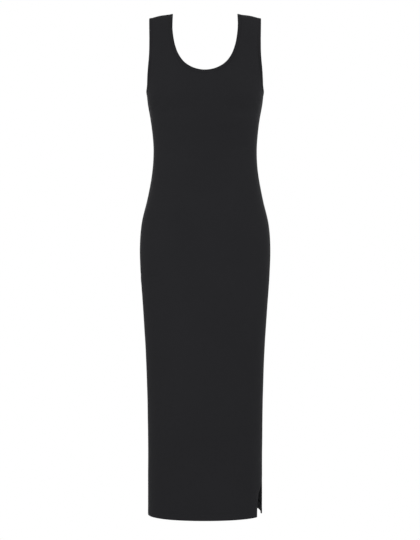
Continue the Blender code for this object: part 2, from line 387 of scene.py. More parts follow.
# %% [markdown]
# ## Creases
#
# On a close jersey dress the folds are soft and few: short drags at the hips, a few folds in the small of
# the back, pulls from the bust towards the armholes and long shallow waves in the skirt. A cloth simulation
# tends to leave a close fit either bare or crumpled. So each crease is given one by one, as a trough with a
# lower lip, with its own length, width and depth.

# %% Creases, each in its own size
# Columns: front 1 or back -1, across (the wearer's left is positive), drop, tilt in degrees, half length,
# half width, depth. Distances are in metres, but the depth is in millimetres. A depth below 0 is a ridge.
CREASES = (
    (1, -0.160, 0.655, 3, 0.036, 0.0055, 1.90),
    (1, -0.168, 0.679, -3, 0.026, 0.0050, 1.10),
    (1, 0.152, 0.622, -7, 0.036, 0.0080, 0.45),
    (1, -0.085, 0.262, 6, 0.060, 0.0120, 1.10),
    (1, 0.088, 0.258, -8, 0.056, 0.0120, 1.00),
    (1, -0.128, 0.232, -38, 0.036, 0.0080, 0.70),
    (1, 0.130, 0.236, 36, 0.038, 0.0080, 0.65),
    (1, -0.095, 0.352, 12, 0.045, 0.0090, 0.90),
    (1, 0.102, 0.338, -10, 0.040, 0.0085, 0.85),
    (1, 0.020, 0.372, 3, 0.060, 0.0120, 0.40),
    (1, -0.060, 1.020, 88, 0.190, 0.0200, 1.10),
    (1, 0.048, 1.060, 93, 0.170, 0.0190, 0.95),
    (1, 0.112, 1.090, 86, 0.150, 0.0180, -0.60),
    (1, 0.150, 1.190, 66, 0.050, 0.0100, 1.10),
    (-1, 0.000, 0.352, 1, 0.085, 0.0100, 3.60),
    (-1, -0.030, 0.386, -6, 0.070, 0.0090, 2.80),
    (-1, 0.040, 0.322, 8, 0.062, 0.0090, 2.40),
    (-1, -0.105, 0.342, -18, 0.038, 0.0080, 1.70),
    (-1, 0.110, 0.378, 16, 0.040, 0.0080, 1.60),
    (-1, 0.138, 0.640, 10, 0.044, 0.0075, 1.30),
    (-1, -0.142, 0.662, -9, 0.040, 0.0075, 1.20),
    (-1, -0.060, 0.716, 12, 0.052, 0.0100, 1.80),
    (-1, 0.064, 0.728, -10, 0.050, 0.0100, 1.60),
    (-1, -0.062, 0.226, 35, 0.045, 0.0090, 0.90),
    (-1, 0.066, 0.232, -34, 0.042, 0.0090, 0.90),
    (-1, -0.045, 1.000, 92, 0.200, 0.0220, 2.60),
    (-1, 0.070, 1.050, 88, 0.180, 0.0200, 2.20),
    (-1, 0.005, 1.120, 90, 0.130, 0.0160, -1.20),
)
LIP_SHARE = 0.45
LIP_AT = 1.7


def creases(side, sideways, drop):
    """Height of the cloth over the smooth form, in metres, from all the creases of one side."""
    height = np.zeros_like(drop)
    for _, at, at_drop, tilt, half_length, half_width, depth in [row for row in CREASES if row[0] == side]:
        turn = math.radians(tilt)
        beside = sideways - at
        below = drop - at_drop
        along = (beside * math.cos(turn) + below * math.sin(turn)) / half_length
        off = (below * math.cos(turn) - beside * math.sin(turn)) / half_width
        trough = np.exp(-(off**2)) - LIP_SHARE * np.exp(-((off - LIP_AT) ** 2))
        height -= depth * MM * trough * np.exp(-(along**2))
    return height


print(len(CREASES), "creases, the deepest", max(row[-1] for row in CREASES), "mm")

# %% A slight unevenness, as in any washed jersey
# Columns: waves per metre along x, y and z, phase in turns, height in millimetres.
WAVES = (
    (9.0, 4.0, 3.0, 0.10, 0.10),
    (-6.0, 7.0, 8.0, 0.65, 0.08),
    (15.0, -6.0, 6.0, 0.30, 0.05),
    (11.0, 9.0, -14.0, 0.85, 0.04),
)


def unevenness(points):
    """Height of the cloth over the smooth form from its waves, in metres."""
    height = 0
    for *waves, phase, millimetres in WAVES:
        height += millimetres * MM * np.sin(2 * math.pi * (points @ np.array(waves) + phase))
    return height


print("waves of at most", round(sum(wave[-1] for wave in WAVES), 2), "mm")

# %% [markdown]
# ## How an edge is turned
#
# Jersey is about a millimetre thick. At the side seams, the shoulder seams, the hem and the slit the cloth
# folds over and runs back inside, so an edge is a small round bend and never a sharp cut. Seen from outside,
# two bends that meet leave the fine groove of a plain seam. The same function gives every bend: how far each
# point lies from the fold, and how deep below the face.

# %% Sizes of the cloth and its turned edges
JERSEY = 1.0 * MM
SEAM_TURN = 0.6 * MM
SEAM_ALLOWANCE = 8 * MM
SEAM_HALF_GAP = 0.05 * MM
HEM_TURN = 0.7 * MM
HEM_ALLOWANCE = 20 * MM
TURN_STEPS = 6
BACK_SHARES = (0.15, 0.5, 0.85, 1.0)
SLIT_TOP_DROP = 1.154
SLIT_SWING = {1: 28.5, -1: 3.0}
STITCH_GROOVE = 0.20 * MM
STITCH_GROOVE_HALF_WIDTH = 0.6 * MM
HEM_STITCHES = (15.5 * MM, 18.7 * MM)
SLIT_STITCHES = 6.5 * MM
HEM_PUFF = 0.18 * MM
HEM_PUFF_AT = 8 * MM
HEM_PUFF_HALF_WIDTH = 7 * MM
SEAM_SINKS = 0.15 * MM
SEAM_SINKS_OVER = 5 * MM
STRAP_SWELLS = 1.4 * MM
STRAP_MIDDLE = 0.112
STRAP_HALF_WIDTH = 0.016
STRAP_SWELLS_OVER = 0.070
UNDER_BUST_HOLLOW = 4.8 * MM
UNDER_BUST_DROP = 0.243
UNDER_BUST_HALF_WIDTH = 0.062
UNDER_BUST_HALF_HEIGHT = 0.024


def bump(distance, at, half_width):
    """A soft bump of height 1."""
    return np.exp(-(((distance - at) / half_width) ** 2))


def smoothstep(value):
    """Rises smoothly from 0 to 1 as the value does."""
    value = np.clip(value, 0, 1)
    return value * value * (3 - 2 * value)


def turned(radius, allowance):
    """From the start of a bend to the raw edge inside: distances from the fold, and depths below the face."""
    swing = np.linspace(0, math.pi, TURN_STEPS + 1)
    inset = radius * (1 - np.sin(swing))
    depth = radius * (1 - np.cos(swing))
    back = allowance * np.array(BACK_SHARES)
    return np.concatenate([inset, radius + back]), np.concatenate([depth, 2 * radius + 0 * back])


def slit_swing(drop, swing):
    """How far a slit edge has swung open at a drop, in radians. It swings most near the top of the slit."""
    fall = np.clip((drop - SLIT_TOP_DROP) / (HEM_DROP - SLIT_TOP_DROP), 0, 1)
    return math.radians(swing) * (1 - (1 - fall) ** 3)


print("the slit opens", SLIT_SWING[1] + SLIT_SWING[-1], "degrees round the hem")

# %% [markdown]
# The height of the cloth over the form adds all this up. Wearing creases the cloth, swells the straps between
# their bands and leaves a shallow hollow under the bust. Sewing sinks the seams and the rows of stitches.

# %% Height of the worn cloth over the smooth form
def worn_shape(sign, sideways, drop, from_centre):
    """What wearing does: creases, swollen straps and a hollow under the bust."""
    height = creases(sign, sideways, drop)
    strap = bump(from_centre, STRAP_MIDDLE, STRAP_HALF_WIDTH)
    height += STRAP_SWELLS * strap * bump(drop, 0, STRAP_SWELLS_OVER)
    if sign > 0:
        under_bust = bump(from_centre, BUST_HALF_SPACING, UNDER_BUST_HALF_WIDTH)
        height -= UNDER_BUST_HOLLOW * under_bust * bump(drop, UNDER_BUST_DROP, UNDER_BUST_HALF_HEIGHT)
    return height


def relief(sign, angle, root, from_side):
    """The worn shape, the unevenness, and what sewing does."""
    drop = root**2
    points = form(angle, root)
    sideways = np.copysign(across(np.abs(angle), root), angle)
    height = worn_shape(sign, sideways, drop, np.abs(points[..., 0])) + unevenness(points)
    height -= SEAM_SINKS * bump(from_side, 0, SEAM_SINKS_OVER)
    from_hem = abs(down(root_of(HEM_DROP) * sign)) - np.abs(down(root))
    height += HEM_PUFF * bump(from_hem, HEM_PUFF_AT, HEM_PUFF_HALF_WIDTH)
    for at in HEM_STITCHES:
        height -= STITCH_GROOVE * bump(from_hem, at, STITCH_GROOVE_HALF_WIDTH)
    at_slit = (angle > 0) & (drop > SLIT_TOP_DROP)
    slit_groove = STITCH_GROOVE * bump(from_side, SLIT_STITCHES, STITCH_GROOVE_HALF_WIDTH)
    return height - np.where(at_slit, slit_groove, 0)


print("the hollow under the bust is", round(UNDER_BUST_HOLLOW / MM, 1), "mm deep")

# %% [markdown]
# Under the bindings the cloth is pressed in a little, so that the folded strip sits on it almost flush.

# %% Press the cloth in under the bindings
BINDING_WIDTH = 8 * MM
BINDING_PRESSES = 0.45 * MM
PRESS_FADES_OVER = 1.5 * MM


def tree_of(paths):
    """A search tree of the points of some paths, which finds the nearest of them quickly."""
    points = np.vstack([form(path[:, 0], path[:, 1]) for path in paths])
    tree = KDTree(len(points))
    for number, point in enumerate(points):
        tree.insert(point, number)
    tree.balance()
    return tree


finished_edges = tree_of([neck_edge, armhole_edge])
print("a binding", BINDING_WIDTH / MM, "mm wide presses the cloth in by", BINDING_PRESSES / MM, "mm")


def under_binding_dip(points):
    """How far the cloth is pressed in, from its distance to the nearest finished edge."""
    distances = np.array([finished_edges.find(point)[2] for point in points.reshape(-1, 3)])
    past_binding = distances.reshape(points.shape[:-1]) - BINDING_WIDTH
    return BINDING_PRESSES * (1 - smoothstep(past_binding / PRESS_FADES_OVER))


# %% [markdown]
# ## The front and the back
#
# Each panel is a single sheet. It starts as a flat grid, as from the Add menu, and its vertices are laid on
# the form. One half is worked out, from the centre line or the neck out to the side seam or the armhole, and
# the other half is its mirror image but for the slit. The rows climb towards the side seam, so that they
# meet the foot of the armhole at a slant and not along it.
#
# The grid is finer where the cloth turns: near the seams, at the hem and under the bindings.

# %% How finely each panel is gridded
UNDER_BINDING = 3 * MM
CENTRE_COLUMNS = np.array([0.0, 1.3, 2.8, 4.6, 6.8, 9.4]) * MM
SIDE_COLUMNS = np.array([9.4, 6.8, 4.7, 3.0, 1.7, 0.8, 0.0]) * MM
MIDDLE_COLUMNS = 42
HEM_FOLD_ROWS = (0.8, 1.8, 3.2, 5.2, 8, 11, 13.6)
HEM_STITCH_ROWS = (14.7, 15.5, 16.3, 17.1, 17.9, 18.7, 19.5, 20.6)
HEM_TOP_ROWS = (22.4, 25, 29)
HEM_ROWS = np.array(HEM_FOLD_ROWS + HEM_STITCH_ROWS + HEM_TOP_ROWS) * MM
SHOULDER_ROWS = np.array([2.4, 1.3, 0.5, 0.0]) * MM
SKIRT_SHARES = (0, 0.07, 0.43, 1)
SKIRT_ROWS = (24, 44, 131)
SKIRT_KNOTS = np.cumsum((0,) + SKIRT_ROWS)
ARMHOLE_ROW_STEP = 4.4 * MM
TOP_OF_SKIRT = {1: 0.245, -1: 0.380}
ROWS_UP_CENTRE = {1: 0.30, -1: 0.36}
FADE_BEGINS = 6 * MM
FADE_LENGTH = 4 * MM
LINE_STEPS = 129
NOT_AT_SEAM = 1.0
print("rows in the hem:", len(HEM_ROWS), "and in the skirt above it:", SKIRT_KNOTS[-1])


# %% The rows of a panel, from the hem up
def hem_reach(sign):
    """The root of the hem, and how far a point there moves down the cloth for each unit of root."""
    hem = sign * root_of(HEM_DROP)
    return hem, np.linalg.norm(form_slopes(np.array(EIGHTH_TURN), np.array(hem))[1])


def hem_rows(sign):
    """Roots and depths of the rows from the raw edge inside the hem, round the fold and up the outer face."""
    hem, reach = hem_reach(sign)
    inset, depth = turned(HEM_TURN, HEM_ALLOWANCE)
    inset = np.concatenate([inset[::-1], HEM_TURN + HEM_ROWS])
    return hem - sign * inset / reach, np.concatenate([depth[::-1], 0 * HEM_ROWS])


def main_rows(sign):
    """Inner and outer ends of each row as (angle, root), the shoulder's last.

    Then come the depths of the rows in the hem and the roots of those on the side seam.
    """
    hem_roots, hem_depths = hem_rows(sign)
    armhole_cut = moved_right(armhole_edge, INWARD["armhole"] * UNDER_BINDING)
    neck_cut = moved_right(neck_edge, INWARD["neck"] * UNDER_BINDING)
    this_side = armhole_edge[armhole_edge[:, 1] * sign >= 0]
    armhole_rows = round(lengths_along(this_side)[-1] / ARMHOLE_ROW_STEP)
    centre_rows = round(armhole_rows * ROWS_UP_CENTRE[sign])
    side_top = points_at(armhole_cut, stations(armhole_edge, sign, armhole_rows))
    neck_top = points_at(neck_cut, stations(neck_edge, sign, armhole_rows - centre_rows))

    share = np.interp(np.arange(1, SKIRT_KNOTS[-1] + 1), SKIRT_KNOTS, SKIRT_SHARES)
    bottom = hem_roots[-1] ** 2
    side_roots = sign * np.sqrt(bottom + (side_top[0, 1] ** 2 - bottom) * share)
    centre_roots = sign * np.sqrt(bottom + (TOP_OF_SKIRT[sign] - bottom) * share)
    rising = np.linspace(centre_roots[-1], neck_top[0, 1], centre_rows + 1)[1:-1]

    seam_roots = np.concatenate([hem_roots, side_roots])
    inner_roots = np.concatenate([hem_roots, centre_roots, rising])
    seam = np.stack([np.full_like(seam_roots, QUARTER_TURN), seam_roots], axis=1)
    centre = np.stack([0 * inner_roots, inner_roots], axis=1)
    return np.vstack([centre, neck_top]), np.vstack([seam, side_top[1:]]), hem_depths, seam_roots


for name, sign in (("front", 1), ("back", -1)):
    print("rows up the", name, "to its shoulder:", len(main_rows(sign)[0]))


# %% The columns of each row, from the centre out
def placed_columns(inner, outer, seam_fade):
    """For each row, how far along it the columns are, as shares and from both ends, and their depths."""
    share = np.linspace(0, 1, LINE_STEPS)[:, None]
    lines = inner[:, None] * (1 - share) + outer[:, None] * share
    points = form(lines[..., 0], lines[..., 1])
    inset, depth = turned(SEAM_TURN, SEAM_ALLOWANCE)
    shares, from_inner, from_outer = [], [], []
    for row, fade in enumerate(seam_fade):
        lengths = lengths_of(points[row])
        whole = lengths[-1]
        side = whole - SIDE_COLUMNS - fade * inset[0]
        middle = np.linspace(CENTRE_COLUMNS[-1], side[0], MIDDLE_COLUMNS + 1)[1:-1]
        stops = np.concatenate([CENTRE_COLUMNS, middle, side, whole - fade * inset[1:]])
        shares.append(np.interp(stops, lengths, share[:, 0]))
        from_inner.append(stops)
        from_outer.append(whole - stops)
    depths = np.concatenate([np.zeros(len(stops) - len(inset)), depth]) * np.array(seam_fade)[:, None]
    return np.array(shares)[..., None], np.array(from_inner), np.array(from_outer), depths


outer_columns = len(CENTRE_COLUMNS) + MIDDLE_COLUMNS - 1 + len(SIDE_COLUMNS)
print("columns from the centre to a side:", outer_columns, "and inside it:", TURN_STEPS + len(BACK_SHARES))


# %% One half of a panel
def half_panel(sign, side):
    """Points and UVs of half a panel.

    Rows run from inside the hem up to the shoulder, and columns from the centre out.
    """
    inner, outer, hem_depths, seam_roots = main_rows(sign)
    swing = SLIT_SWING[sign] if side > 0 else 0
    seam_rows = len(seam_roots)
    outer[:seam_rows, 0] -= SEAM_HALF_GAP / np.abs(section(seam_roots)[1]) + slit_swing(seam_roots**2, swing)
    seam_fade = np.zeros(len(outer))
    seam_fade[:seam_rows] = smoothstep((seam_roots**2 - seam_roots[-1] ** 2 - FADE_BEGINS) / FADE_LENGTH)

    share, from_inner, from_outer, depths = placed_columns(inner, outer, seam_fade)
    line = inner[:, None] * (1 - share) + outer[:, None] * share
    depths[: len(hem_depths)] += hem_depths[:, None]

    top = line[-1]
    nearest = np.minimum(from_inner[-1], from_outer[-1])
    fade = smoothstep((nearest - FADE_BEGINS) / FADE_LENGTH)
    inset, depth = turned(SEAM_TURN, SEAM_ALLOWANCE)
    away = np.concatenate([SHOULDER_ROWS[:, None] + fade * inset[0], fade * inset[1:, None]]) + SEAM_HALF_GAP
    reach = np.linalg.norm(form_slopes(top[:, 0], top[:, 1] + sign * TINY)[1], axis=-1)
    rows = len(away)
    shoulder = np.stack([np.broadcast_to(top[:, 0], away.shape), sign * away / reach], axis=-1)
    shoulder_depths = np.concatenate([np.zeros((rows - len(inset), len(top))), depth[:, None] * fade])

    angle, root = np.moveaxis(np.concatenate([line[:-1], shoulder]), -1, 0)
    depths = np.concatenate([depths[:-1], shoulder_depths])
    on_seam = np.zeros(len(angle), bool)
    on_seam[:seam_rows] = True
    from_side = np.concatenate([from_outer[:-1], np.repeat(from_outer[-1:], rows, axis=0)])
    from_side = np.where(on_seam[:, None], from_side, NOT_AT_SEAM)
    height = relief(sign, side * angle, root, from_side) - depths - JERSEY / 2
    points = form(angle, root)
    points = points + outward(angle, root) * (height - under_binding_dip(points))[..., None]
    uvs = np.stack([side * across(angle, root), -down(root) * sign], axis=-1)
    return points * [side, 1, 1], uvs


# %% Lay a grid on computed points
GRID_SIZE = 2
MERGE_DISTANCE = 0.01 * MM
SMOOTH_BELOW = math.radians(60)


def laid_grid(name, points, uvs):
    """A grid from the Add menu, with its vertices moved to rows and columns of points, and its UV map set."""
    rows, columns = points.shape[:2]
    bpy.ops.mesh.primitive_grid_add(x_subdivisions=columns - 1, y_subdivisions=rows - 1, size=GRID_SIZE)
    piece = bpy.context.object
    piece.name = piece.data.name = name
    mesh = piece.data
    flat = np.empty(len(mesh.vertices) * 3)
    mesh.vertices.foreach_get("co", flat)
    place = (flat.reshape(-1, 3)[:, :2] / GRID_SIZE + 0.5) * [columns - 1, rows - 1]
    column, row = np.rint(place).astype(int).T
    mesh.vertices.foreach_set("co", points[row, column].ravel())
    corner = np.empty(len(mesh.loops), int)
    mesh.loops.foreach_get("vertex_index", corner)
    mesh.uv_layers[0].data.foreach_set("uv", uvs[row, column][corner].ravel())
    piece.select_set(False)
    return piece


def joined(name, pieces):
    """One object from several."""
    bpy.ops.object.select_all(action="DESELECT")
    for piece in pieces:
        piece.select_set(True)
    bpy.context.view_layer.objects.active = pieces[0]
    if len(pieces) > 1:
        bpy.ops.object.join()
    piece = bpy.context.object
    piece.name = piece.data.name = name
    return piece


def thickened(piece, thickness):
    """Merges the points of a sheet that coincide and gives it its thickness, smooth but for its cut edges."""
    bpy.ops.object.mode_set(mode="EDIT")
    bpy.ops.mesh.select_all(action="SELECT")
    bpy.ops.mesh.remove_doubles(threshold=MERGE_DISTANCE)
    bpy.ops.mesh.normals_make_consistent(inside=False)
    bpy.ops.object.mode_set(mode="OBJECT")
    shell = piece.modifiers.new("Thickness", "SOLIDIFY")
    shell.thickness = thickness
    shell.offset = 0
    bpy.ops.object.modifier_apply(modifier=shell.name)
    bpy.ops.object.shade_smooth_by_angle(angle=SMOOTH_BELOW)
    piece.select_set(False)
    print(piece.name, "has", len(piece.data.vertices), "vertices")
    return piece


# %% Make the front and the back
def make_panel(name, sign):
    """A whole panel, from a left and a right half."""
    halves = []
    for side in (1, -1):
        points, uvs = half_panel(sign, side)
        if side * sign < 0:
            points, uvs = points[:, ::-1], uvs[:, ::-1]
        halves.append(laid_grid(name, points, uvs))
    return thickened(joined(name, halves), JERSEY)


def stands_for(piece, node):
    """Makes a piece ride on the dress in place of its plain wall."""
    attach(piece, "root")
    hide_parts(node)


front = make_panel("front", 1)
back = make_panel("back", -1)
stands_for(front, "front_panel")
stands_for(back, "back_panel")

# %% [markdown]
# ## The bindings
#
# A strip of the same jersey is folded over the neck edge and over each armhole edge, and two rows of
# stitches hold it. Its cross-section is a U: an outer leaf, a round bend at the finished edge and an inner
# leaf. The section is swept along the finished edge, and sinks a little at each row of stitches.

# %% The section of a binding
BINDING_JERSEY = 0.65 * MM
BINDING_TURN = 0.875 * MM
OUTER_LEAF_RIM = (8.0, 7.7, 7.2)
OUTER_LEAF_ROWS = (6.85, 6.5, 6.15, 5.7, 5.2, 4.7, 4.2, 3.65, 3.3, 2.95, 2.4, 1.8, 1.2)
OUTER_LEAF = np.array(OUTER_LEAF_RIM + OUTER_LEAF_ROWS) * MM
INNER_LEAF = np.array([2.2, 3.3, 4.4, 5.6, 6.7, 7.8, 8.8]) * MM
OUTER_LEAF_DEPTH = 0.025 * MM
BEND_STEPS = 8
BINDING_STITCHES = (3.3 * MM, 6.5 * MM)
BINDING_GROOVE = 0.15 * MM
BINDING_PUFF = 0.12 * MM
PUFF_HALF_WIDTH = 1.1 * MM
BEND_PUFF_HALF_WIDTH = 1.2 * MM
LIP_DROPS = 0.14 * MM
LIP_HALF_WIDTH = 0.5 * MM


def binding_section():
    """Distances from the finished edge, and depths below the form, across a binding."""
    swing = np.linspace(0, math.pi, BEND_STEPS + 1)[1:]
    bend = OUTER_LEAF[-1] - BINDING_TURN * np.sin(swing)
    bend_depth = OUTER_LEAF_DEPTH + BINDING_TURN * (1 - np.cos(swing))
    puff = bump(OUTER_LEAF, sum(BINDING_STITCHES) / 2, PUFF_HALF_WIDTH)
    puff = puff + bump(OUTER_LEAF, OUTER_LEAF[-1], BEND_PUFF_HALF_WIDTH)
    sunk = sum(bump(OUTER_LEAF, at, STITCH_GROOVE_HALF_WIDTH) for at in BINDING_STITCHES)
    lip = bump(OUTER_LEAF, BINDING_WIDTH, LIP_HALF_WIDTH)
    leaf_depth = OUTER_LEAF_DEPTH + BINDING_GROOVE * sunk - BINDING_PUFF * puff + LIP_DROPS * lip
    inner_depth = OUTER_LEAF_DEPTH + 2 * BINDING_TURN + 0 * INNER_LEAF
    depth = np.concatenate([leaf_depth, bend_depth, inner_depth])
    return np.concatenate([OUTER_LEAF, bend, INNER_LEAF]), depth


print("a binding has", len(binding_section()[0]), "points across")


# %% Sweep it along an edge
BINDING_STEP = 3 * MM
JOIN_STEPS = np.array([-1.6, -0.8, -0.35, 0, 0.35, 0.8, 1.6]) * MM
JOIN_DEPTH = 0.30 * MM
JOIN_HALF_WIDTH = 0.5 * MM
ROUNDED_TO = 6


def make_binding(name, edge, inward, join, side=1):
    """A folded strip along a closed edge. Its own ends are joined at a distance along the edge."""
    lengths = lengths_along(edge)
    even = np.linspace(0, lengths[-1], round(lengths[-1] / BINDING_STEP) + 1)
    near_join = np.clip(join + JOIN_STEPS, 0, lengths[-1])
    even = even[np.abs(even - join) > JOIN_STEPS[-1] + BINDING_STEP / 2]
    stops = np.unique(np.round(np.concatenate([[0, lengths[-1]], even, near_join]), ROUNDED_TO))
    steps = np.interp(stops, lengths, np.arange(len(edge)))
    away, depth = binding_section()
    sunk = JOIN_DEPTH * bump(stops, join, JOIN_HALF_WIDTH)
    points = []
    for distance, below in zip(away, depth):
        angle, root = points_at(moved_right(edge, inward * distance), steps).T
        points.append(form(angle, root) + outward(angle, root) * -(below + sunk)[:, None])
    points = np.stack(points, axis=1)
    points[0] = points[-1] = (points[0] + points[-1]) / 2
    round_section = lengths_of(np.stack([away, depth], axis=1))
    uvs = np.stack(np.broadcast_arrays(round_section[None, :], stops[:, None]), axis=-1)
    if inward * side < 0:
        points, uvs = points[:, ::-1], uvs[:, ::-1]
    return thickened(joined(name, [laid_grid(name, points * [side, 1, 1], uvs)]), BINDING_JERSEY)


whole_neck = np.vstack([neck_edge, neck_edge[-2::-1] * [-1, 1]])
left_shoulder = np.interp(0, neck_edge[::-1, 1], lengths_along(neck_edge)[::-1])
neck_binding = make_binding("neck_binding", whole_neck, INWARD["neck"], left_shoulder)
armhole_bindings = [
    make_binding("armhole_binding_left", armhole_edge, INWARD["armhole"], 0),
    make_binding("armhole_binding_right", armhole_edge, INWARD["armhole"], 0, side=-1),
]
stands_for(neck_binding, "neck_band")
stands_for(armhole_bindings[0], "armhole_band_left")
stands_for(armhole_bindings[1], "armhole_band_right")

# %% [markdown]
# ## Stitches
#
# One stitch is a short thread that dips into the cloth at both ends. It is modelled once and copied along
# each row: two rows on every binding, two above the hem, and one down each side of the slit with a small bar
# across its top.

# %% One stitch, and rows of them
STITCH_LENGTH = 2.4 * MM
STITCH_WIDTH = 0.36 * MM
STITCH_PITCH = 3.0 * MM
STITCH_STANDS = 0.04 * MM
STITCH_SIDES = 6
STITCH_RINGS = 6

bpy.ops.mesh.primitive_uv_sphere_add(segments=STITCH_SIDES, ring_count=STITCH_RINGS, radius=0.5)
stitch = bpy.context.object
stitch.rotation_euler = (0, QUARTER_TURN, 0)
bpy.ops.object.transform_apply(location=False, rotation=True, scale=False)
stitch.scale = (STITCH_LENGTH, STITCH_WIDTH, STITCH_WIDTH)
bpy.ops.object.transform_apply(location=False, rotation=False, scale=True)
bpy.ops.object.shade_smooth()
print("a stitch has", len(stitch.data.polygons), "faces")


def stitch_row(points, outs, pitch=STITCH_PITCH):
    """Places for stitches at an even pitch along a line on the cloth: origin, along, sideways and out."""
    lengths = lengths_of(points)
    count = int(lengths[-1] / pitch)
    middles = (np.arange(count) + 0.5) * lengths[-1] / count
    along = read_along(np.gradient(points, axis=0), lengths, middles)
    along /= np.linalg.norm(along, axis=1)[:, None]
    sideways = np.cross(read_along(outs, lengths, middles), along)
    sideways /= np.linalg.norm(sideways, axis=1)[:, None]
    origin = read_along(points, lengths, middles)
    return np.stack([origin, along, sideways, np.cross(along, sideways)], axis=1)


def sewn(name, rows):
    """All the stitches of some rows, as one piece."""
    places = np.concatenate(rows)
    copies = []
    for origin, along, sideways, out in places:
        copy = bpy.data.objects.new(name, stitch.data.copy())
        corners = np.array([vertex.co for vertex in copy.data.vertices])
        spread = origin + corners @ np.array([along, sideways, out])
        copy.data.vertices.foreach_set("co", spread.ravel())
        bpy.context.collection.objects.link(copy)
        copies.append(copy)
    piece = joined(name, copies)
    piece.select_set(False)
    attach(piece, "root")
    print(name, "has", len(copies), "stitches")
    return piece


# %% Sew the bindings
def binding_rows(edge, inward, side=1):
    """The two rows of a binding, on its outer face."""
    lift = BINDING_JERSEY / 2 - OUTER_LEAF_DEPTH - BINDING_GROOVE + STITCH_STANDS
    rows = []
    for distance in BINDING_STITCHES:
        angle, root = moved_right(edge, inward * distance).T
        outs = outward(angle, root)
        rows.append(stitch_row((form(angle, root) + outs * lift) * [side, 1, 1], outs * [side, 1, 1]))
    return rows


neck_stitches = sewn("neck_stitches", binding_rows(whole_neck, INWARD["neck"]))
armhole_stitches = [
    sewn("armhole_stitches_left", binding_rows(armhole_edge, INWARD["armhole"])),
    sewn("armhole_stitches_right", binding_rows(armhole_edge, INWARD["armhole"], -1)),
]

# %% Sew the hem and the slit
SEW_STEPS = 400
BAR_TACK_STITCHES = 7
BAR_TACK_HALF_WIDTH = 3.3 * MM
BAR_TACK_HEIGHT = 2.4 * MM
BAR_TACK_PITCH = 2.0 * MM


def on_cloth(sign, angle, root, from_side):
    """Points on the outer face of a panel, and the directions out of it."""
    outs = outward(angle, root)
    height = relief(sign, angle, root, from_side) + STITCH_STANDS
    return form(angle, root) + outs * height[:, None], outs


def hem_row(sign, distance):
    """A row above the hem of one panel, from the closed seam round to the slit."""
    hem, reach = hem_reach(sign)
    root = hem - sign * distance / reach
    inset = SEAM_TURN / abs(section(root)[1])
    open_side = QUARTER_TURN - inset - slit_swing(root**2, SLIT_SWING[sign])
    angle = np.linspace(inset - QUARTER_TURN, open_side, SEW_STEPS)
    return stitch_row(*on_cloth(sign, angle, np.full(SEW_STEPS, root), np.full(SEW_STEPS, NOT_AT_SEAM)))


def slit_row(sign):
    """A row down one edge of the slit."""
    drop = np.linspace(SLIT_TOP_DROP + SLIT_STITCHES, HEM_DROP - HEM_TURN, SEW_STEPS)
    root = sign * np.sqrt(drop)
    edge = QUARTER_TURN - slit_swing(drop, SLIT_SWING[sign])
    reach = np.linalg.norm(form_slopes(edge, root)[0], axis=1)
    return stitch_row(*on_cloth(sign, edge - SLIT_STITCHES / reach, root, np.full(SEW_STEPS, SLIT_STITCHES)))


def bar_tack():
    """A bar of close stitches that crosses the seam at the top of the slit."""
    rows = []
    for number in range(BAR_TACK_STITCHES):
        drop = SLIT_TOP_DROP - BAR_TACK_HEIGHT * number / BAR_TACK_STITCHES
        ends = []
        for sign in (1, -1):
            root = np.full(2, sign * math.sqrt(drop))
            from_side = np.array([BAR_TACK_HALF_WIDTH, SEAM_TURN])
            angle = QUARTER_TURN - from_side / abs(section(root[0])[1])
            ends.append(on_cloth(sign, angle, root, from_side))
        points = np.vstack([ends[0][0], ends[1][0][::-1]])
        outs = np.vstack([ends[0][1], ends[1][1][::-1]])
        rows.append(stitch_row(points, outs, BAR_TACK_PITCH))
    return rows


hem_stitches = sewn("hem_stitches", [hem_row(sign, at) for sign in (1, -1) for at in HEM_STITCHES])
slit_stitches = sewn("slit_stitches", [slit_row(1), slit_row(-1)] + bar_tack())
bpy.data.objects.remove(stitch)

# %% [markdown]
# ## Materials
#
# Black cotton jersey isn't quite black. It returns about one part in a hundred of the light, with a soft
# bloom where it turns away, from the short fibres that stand off it. So the base is a very dark neutral with
# a faint blue, the gloss is low and a sheen gives the bloom. The face of jersey is rows of small V-shaped
# stitches. They are far too many to model, so they are drawn from the UV map, which is in metres of cloth, as
# a bump and as painted shade in the gaps between them with a painted highlight on the loops.

# %% Jersey and thread
WALE = 0.80 * MM
COURSE = 0.62 * MM
V_SLOPE = 2.0
KNIT_HEIGHT = 0.12 * MM
KNIT_STRENGTH = 0.6
# Factors on the colour from the knit's height: painted shade in the gaps between stitches, painted highlight
# on the loops.
KNIT_PAINTED_SHADE_AND_HIGHLIGHT = (0.75, 1.37)
CLOUD_SCALE = 9
CLOUD_DETAIL = 5
CLOUD_SHADES = (0.93, 1.07)
JERSEY_ROUGHNESS = 0.85
JERSEY_GLOSS = 0.03
BLOOM_ROUGHNESS = 0.42
BLOOM_TINT = (0.92, 0.95, 1.0, 1)
# Columns: colour, strength of the bloom.
JERSEY_FINISH = ((0.0104, 0.0104, 0.0115), 0.010)
BAND_FINISH = ((0.0106, 0.0106, 0.0117), 0.012)
THREAD_FINISH = ((0.0098, 0.0098, 0.0110), 0.02)


def math_node(tree, operation, *values):
    """A Math node with sockets or numbers for its inputs. Returns its output."""
    node = tree.nodes.new("ShaderNodeMath")
    node.operation = operation
    for socket, value in zip(node.inputs, values):
        if isinstance(value, bpy.types.NodeSocket):
            tree.links.new(value, socket)
        else:
            socket.default_value = value
    return node.outputs[0]


